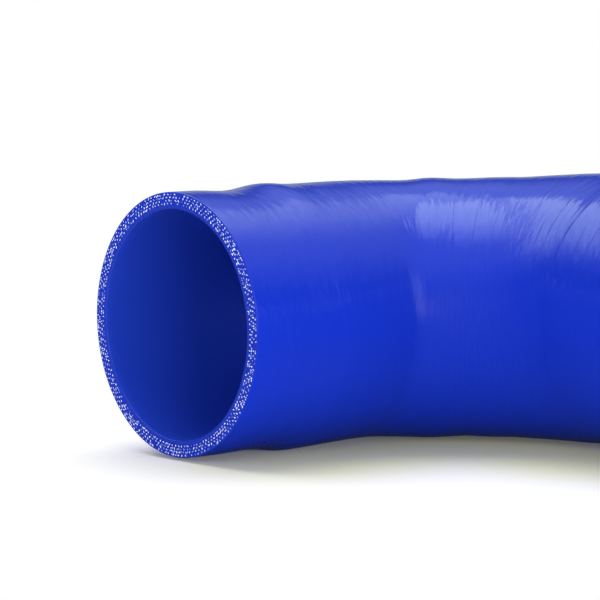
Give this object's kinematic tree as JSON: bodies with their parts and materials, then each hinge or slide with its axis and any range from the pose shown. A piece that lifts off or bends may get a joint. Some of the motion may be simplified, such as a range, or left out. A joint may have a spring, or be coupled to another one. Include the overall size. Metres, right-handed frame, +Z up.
{
  "type": "induction hose",
  "caption": "Moulded fabric-reinforced silicone hose with a tight elbow, a long sweep to a right angle and a bore that widens towards its outlet.",
  "frame": {"origin": "on the floor that the hose lies on, under the middle of its box", "axes": "+Z up from the floor; the mouth opens towards -X and the outlet towards -Y"},
  "size_m": [0.1792, 0.228, 0.0922],
  "materials": {
    "blue_silicone": "gloss",
    "polyester_yarn": "matte"
  },
  "bodies": {
    "root": {"induction_hose": "blue_silicone"}
  },
  "joints": []
}
